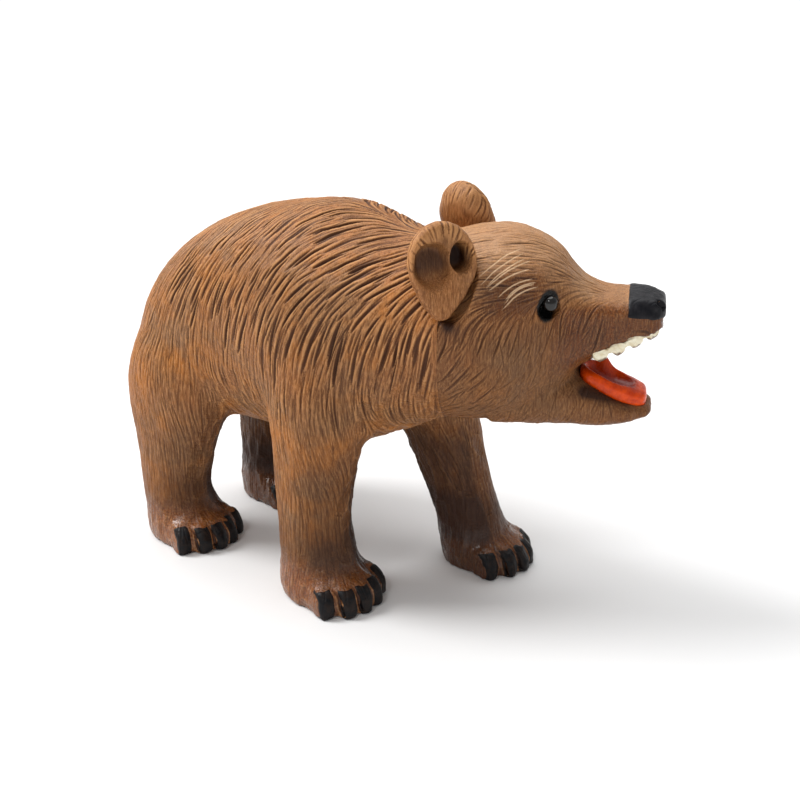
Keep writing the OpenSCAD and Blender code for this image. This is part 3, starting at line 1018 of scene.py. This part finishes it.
# Hollows of an ear: middle (towards the brow, up), half-sizes, depth and darkness of the painted
# shade in them
EAR_HOLLOWS = [((-2.6, 1.4), (5.4, 6.0), 3.2, 0.8), ((4.5, 2.8), (2.9, 3.9), 5.2, 1.0)]


def hull_of(verts):
    """Convex hull as arrays of vertices and triangles."""
    mesh = bmesh.new()
    for v in verts:
        mesh.verts.new(v)
    bmesh.ops.convex_hull(mesh, input=mesh.verts)
    loose = [v for v in mesh.verts if not v.link_faces]
    bmesh.ops.delete(mesh, geom=loose, context="VERTS")
    mesh.verts.index_update()
    out = np.array([v.co for v in mesh.verts])
    faces = np.array([[v.index for v in f.verts] for f in mesh.faces])
    mesh.free()
    return out, faces


def ear_axes(outline, side):
    """Unit directions of an ear: towards the brow, up its face, and out of its opening."""
    opening = np.linalg.svd(outline, full_matrices=False)[2][2]
    opening = opening * np.sign(opening @ (ahead + 1.2 * side * left))
    tall = unit(up - opening * (up @ opening))
    browward = np.cross(tall, opening) * -side
    return np.stack([browward * np.sign(browward @ ahead), tall, opening])


def ear_hollow(local):
    """Depth of an ear's hollows, and the painted shade in them, darker towards the top, in the
    ear's own frame.
    """
    depth, hollow_shade = np.zeros(len(local)), np.zeros(len(local))
    for place, half, deep, dark in EAR_HOLLOWS:
        reach = np.linalg.norm((local[:, :2] - place) / half, axis=1)
        rim = 0.5 + 0.32 * smoothstep(0, half[1], local[:, 1] - place[1])
        depth = np.maximum(depth, deep * (1 - smoothstep(rim, 1.02, reach)))
        fade = dark * (1 - smoothstep(0.6, 1.0, reach)) * smoothstep(-3.0, 2.5, local[:, 1])
        hollow_shade = np.maximum(hollow_shade, fade)
    return depth, hollow_shade


def ear_form(outline, axes):
    """The uncut ear round its middle: a hollowed hull whose lobe narrows to a point."""
    verts, faces, _ = remeshed(*hull_of(outline), 0.32, 6)
    local = verts @ axes.T
    front = smoothstep(0.2, 0.6, normals_of(verts, faces) @ axes[2])
    local[:, 2] -= ear_hollow(local)[0] * front
    low = np.minimum(local[:, 1], 0)
    local[:, 0] *= 1 - 0.3 * smoothstep(2, -13, local[:, 1])
    local[:, 0] -= 1.6 * smoothstep(0, -13, local[:, 1])
    local[:, 1] -= 0.10 * low
    return local @ axes, faces


def wood_ear(name, side):
    """A thick ear like a folded leaf: a scoop, a deep hole by the brow and a smooth lobe."""
    middle = centre_of(name)
    outline = node_arrays(name)[0] - middle
    axes = ear_axes(outline, side)
    opening = axes[2]
    verts, faces = ear_form(outline, axes)
    verts, faces, around = remeshed(verts + middle, faces, 0.28, 3)
    surface, strokes = Surface(verts, faces), Strokes()
    local = (verts - middle) @ axes.T

    def from_middle(points):
        out = points - middle
        return out - opening * (out @ opening)[:, None] * 0.5

    outer = smoothstep(6.5, 8.5, np.linalg.norm(local[:, :2], axis=1)) * (local[:, 1] > 0)
    lay(surface, strokes, from_middle, 0.9 * outer, 1.1, (3, 6), (0.25, 0.4), (0.12, 0.35))
    lay(surface, strokes, from_middle, 0.6 + 0 * outer, 1.2, (2, 6), (0.22, 0.35), (0.05, 0.14))
    groove = strokes.depth_on(verts, surface.normals, rounded=False)
    cut = groove + 0.12 * Waves(4)(verts)
    facing = smoothstep(-0.3, 0.1, surface.normals @ opening)
    # Painted shade in the hollows, on faces turned to the ear's opening
    values = {"groove": groove, "relief": around.smooth(cut, 10) - cut + 0.05 * outer,
              "painted_shade_and_stain": ear_hollow(local)[1] * facing}
    to_piece(name + "_cup", verts - surface.normals * cut[:, None], faces, ear_wood,
             name, values)


wood_ear("ear_right", RIGHT)
wood_ear("ear_left", LEFT)


# ------------------------ tongue and teeth

def uneven(verts, faces, height, size):
    """The same surface with random lumps: their height and size in millimetres."""
    return verts + normals_of(verts, faces) * (height * Waves(size)(verts))[:, None]


def tongue_tray():
    """The tongue hangs under the teeth, with painted shade darkening its hollow floor and a peak on
    its left edge.
    """
    verts, faces, _ = remeshed(*node_arrays("tongue"), 0.25, 4)
    q = to_head(uneven(verts, faces, 0.08, 4))
    x, y = q[:, 0].copy(), q[:, 1].copy()
    hollow = np.exp(-(y / 3.4) ** 4) * smoothstep(33, 36, x) * (1 - smoothstep(45, 48, x))
    q[:, 2] -= 1.7 * smoothstep(33, 48, x) + 0.9
    peak = np.exp(-((x - 38.5) / 1.5) ** 2 - ((y - 4.2) / 1.6) ** 2)
    q[:, 2] += 2.2 * peak * (q[:, 2] > -15)
    # Painted shade on the tongue's hollow floor
    to_piece("tongue_tray", from_head(q), faces, red_paint, "tongue",
             {"painted_shade_and_stain": 0.85 * hollow})


tongue_tray()


def gum_strip(points):
    """A painted band under the upper lip that joins a row of teeth: vertices and triangles."""
    rings = []
    for x in np.linspace(points[:, 0].min(), points[:, 0].max(), 14):
        row = points[np.abs(points[:, 0] - x) < 2.3]
        side = np.sign(row[:, 1].mean())
        y = side * (np.abs(row[:, 1]).max() - 1.5)
        low, high = upper_lip(x) - 0.8, upper_lip(x) + 1
        rings.append([(x, y - 0.9, low), (x, y + 0.9, low), (x, y + 0.9, high), (x, y - 0.9, high)])
    count = len(rings)
    verts = from_head(np.array(rings).reshape(-1, 3))
    faces = [(0, 1, 2), (0, 2, 3)]
    faces += [tuple(4 * (count - 1) + k for k in f) for f in ((0, 2, 1), (0, 3, 2))]
    for i in range(count - 1):
        for k in range(4):
            a, b = 4 * i + k, 4 * i + (k + 1) % 4
            faces += [(a, a + 4, b + 4), (a, b + 4, b)]
    return verts, np.array(faces)


def teeth_row(node, gums):
    """A row of teeth, raised a little towards the upper lip from the CAD ones and drawn in, with
    worn brown tips.
    """
    teeth = node_arrays(node)
    parts = [teeth, gum_strip(to_head(teeth[0]))] if gums else [teeth]
    verts, faces, _ = remeshed(*joined(parts), 0.16, 2)
    q = to_head(uneven(verts, faces, 0.08, 1.5))
    hang = upper_lip(q[:, 0]) - q[:, 2]
    q[:, 2] += 0.3 * np.maximum(hang, 0) + 0.4
    q[:, 2] += 0.9 * (1 - smoothstep(36, 44, q[:, 0]))
    q[:, 1] -= 0.6 * np.sign(q[:, 1]) * smoothstep(2, 4, np.abs(q[:, 1]))
    verts = from_head(q)
    worn = smoothstep(1.6, 2.6, hang + 0.9 * Waves(1.3)(verts))
    to_piece(node + "_row", verts, faces, tooth_paint, node, {"worn": 0.9 * worn})


teeth_row("upper_teeth_right", True)
teeth_row("upper_teeth_left", True)
teeth_row("incisors", False)


# ------------------------ coats of black paint

COAT_SINK = 0.2


def paint_skin(skin, inside, lift):
    """A thin closed coat over the part of a surface where inside is above 0.

    Its edge follows the line where inside is 0. Its top is up to lift over the surface and
    thins out towards the edge; its back is COAT_SINK under it.
    """
    verts, normals, tris = skin
    tris = tris[(inside[tris] > 0).any(axis=1)]
    used, tris = np.unique(tris, return_inverse=True)
    tris = tris.reshape(-1, 3)
    place, facing, depth = verts[used].copy(), normals[used], inside[used]
    edges = np.concatenate([tris[:, [0, 1]], tris[:, [1, 2]], tris[:, [2, 0]]])
    both = np.concatenate([edges, edges[:, ::-1]])
    out, into = both[(depth[both[:, 0]] <= 0) & (depth[both[:, 1]] > 0)].T
    share = depth[out] / (depth[out] - depth[into])
    crossing = place[out] + (place[into] - place[out]) * share[:, None]
    count = np.bincount(out, minlength=len(place))
    for axis in range(3):
        total = np.bincount(out, crossing[:, axis], len(place))
        place[:, axis] = np.where(count > 0, total / np.maximum(count, 1), place[:, axis])
    raised = lift * smoothstep(0, 0.35, depth) + 0.02
    top, under = place + facing * raised[:, None], place - facing * COAT_SINK
    keys = edges[:, 0] * len(place) + edges[:, 1]
    rim = edges[~np.isin(keys, edges[:, 1] * len(place) + edges[:, 0])]
    a, b = rim.T
    size = len(place)
    walls = np.concatenate([np.stack([a, a + size, b], 1), np.stack([b, a + size, b + size], 1)])
    return np.concatenate([top, under]), np.concatenate([tris, tris[:, ::-1] + size, walls])


NOSE_BACK, NOSE_FOOT, NOSE_TIP = 43.0, 4.4, 51


def nose_pad():
    """Black paint on the nose, ahead of its back edge and above a slanted foot."""
    q = to_head(head_skin[0])
    foot = NOSE_FOOT + 0.12 * (NOSE_TIP - q[:, 0])
    inside = np.minimum(q[:, 0] - NOSE_BACK, q[:, 2] - foot)
    verts, faces = paint_skin(head_skin, inside + 0.12 * Waves(3)(head_skin[0]), 0.14)
    to_piece("nose_pad", verts, faces, nose_paint, "nose")


nose_pad()

CLAW_HALF_WIDTH, CLAW_TOP, CLAW_FOOT, CLAW_BACK, CLAW_REACH = 1.85, 7.2, 0.15, 3.4, 8
TOE_SPLAY = 0.13
claw_waves = Waves(3.5)


def paint_claws(leg):
    """Black paint over each toe of a paw, fanned outwards, with wavy edges."""
    verts, normals, _ = body_skin
    middles, across, out = toe_axes(leg)
    wavy_side = 0.15 * claw_waves(verts)
    for toe, (name, middle) in enumerate(zip(claw_names(leg), middles)):
        ray = unit(out + across * TOE_SPLAY * (toe - (TOES - 1) / 2))
        away = verts - middle
        limits = [CLAW_HALF_WIDTH - np.abs(away @ (-ray[1], ray[0], 0)) + wavy_side,
                  CLAW_TOP + 0.5 * claw_waves(verts + middle) - verts[:, 2],
                  verts[:, 2] - CLAW_FOOT,
                  away @ ray + CLAW_BACK]
        near = (np.linalg.norm(away, axis=1) < CLAW_REACH) & (normals @ ray > -0.1)
        inside = np.where(near, np.min(limits, axis=0), -1)
        coat, faces = paint_skin(body_skin, inside, 0.16)
        to_piece("paint_" + name, above_ground(coat), faces, claw_paint, name)


for leg in LEGS:
    paint_claws(leg)


# ------------------------ kept CAD nodes

def give(node, material):
    """Puts a material on a CAD node that is shown as it is."""
    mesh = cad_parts[node].data
    mesh.materials.clear()
    mesh.materials.append(material)
    mesh.shade_smooth()


glass, wire = glass_material("black eye glass"), wire_material("drawn wire")
give("neck_dowel", bare_wood_material("bare dowel wood"))
for hand in ("right", "left"):
    give("eye_bead_" + hand, glass)
    give("eye_shank_" + hand, wire)


# ------------------------ floor, light and camera

FLOOR_HALF = 40000


def pale_floor():
    """A wide matt floor for the shadow to lie on."""
    n = Nodes("pale floor")
    shades = n.mix(n.noise(0.004, 2), rgb(0.70, 0.70, 0.70), rgb(0.74, 0.74, 0.74))
    n.set(Base_Color=shades, Roughness=0.6)
    corners = np.array([[-1, -1, 0], [1, -1, 0], [1, 1, 0], [-1, 1, 0]]) * FLOOR_HALF * MM
    mesh = to_mesh("floor", corners, np.array([[0, 1, 2, 3]]))
    mesh.materials.append(n.material)
    floor = bpy.data.objects.new("floor", mesh)
    bpy.context.scene.collection.objects.link(floor)


def soft_sun(name, azimuth, elevation, strength, width):
    """A wide distant light; azimuth is from +X towards +Y, all angles in degrees."""
    data = bpy.data.lights.new(name, "SUN")
    data.energy = strength
    data.angle = math.radians(width)
    light = bpy.data.objects.new(name, data)
    bpy.context.scene.collection.objects.link(light)
    a, e = math.radians(azimuth), math.radians(elevation)
    place = Vector((math.cos(a) * math.cos(e), math.sin(a) * math.cos(e), math.sin(e)))
    light.rotation_euler = place.to_track_quat("Z", "Y").to_euler()


pale_floor()
soft_sun("top", 140, 72, 1.9, 60)
soft_sun("key", -150, 46, 2.9, 24)
soft_sun("window", -78, 50, 0.4, 9)

# A sky that is brightest near the horizon: its strength fades with the height looked at
world = bpy.data.worlds.new("studio")
world.use_nodes = True
sky = world.node_tree.nodes["Background"]
towards = world.node_tree.nodes.new("ShaderNodeTexCoord")
height = world.node_tree.nodes.new("ShaderNodeSeparateXYZ")
fade = world.node_tree.nodes.new("ShaderNodeMapRange")
world.node_tree.links.new(towards.outputs["Generated"], height.inputs[0])
world.node_tree.links.new(height.outputs["Z"], fade.inputs["Value"])
world.node_tree.links.new(fade.outputs[0], sky.inputs["Strength"])
for socket, value in (("From Min", 0.10), ("From Max", 0.30), ("To Min", 1.05), ("To Max", 0.46)):
    fade.inputs[socket].default_value = value
sky.inputs["Color"].default_value = (1, 1, 1, 1)
bpy.context.scene.world = world

AZIMUTH, ELEVATION, DISTANCE = math.radians(42), math.radians(20), 0.300
TARGET = Vector((0.00281, 0.01434, 0.045))
back = Vector((math.sin(AZIMUTH) * math.cos(ELEVATION), -math.cos(AZIMUTH) * math.cos(ELEVATION),
               math.sin(ELEVATION)))
camera_data = bpy.data.cameras.new("camera")
camera_data.sensor_width = 36
camera_data.lens = 47.25
camera_data.clip_start = 0.01
camera = bpy.data.objects.new("camera", camera_data)
camera.location = TARGET + back * DISTANCE
camera.rotation_euler = (-back).to_track_quat("-Z", "Y").to_euler()
bpy.context.scene.collection.objects.link(camera)
bpy.context.scene.camera = camera

bpy.context.scene.view_settings.view_transform = "Standard"

bpy.context.view_layer.update()
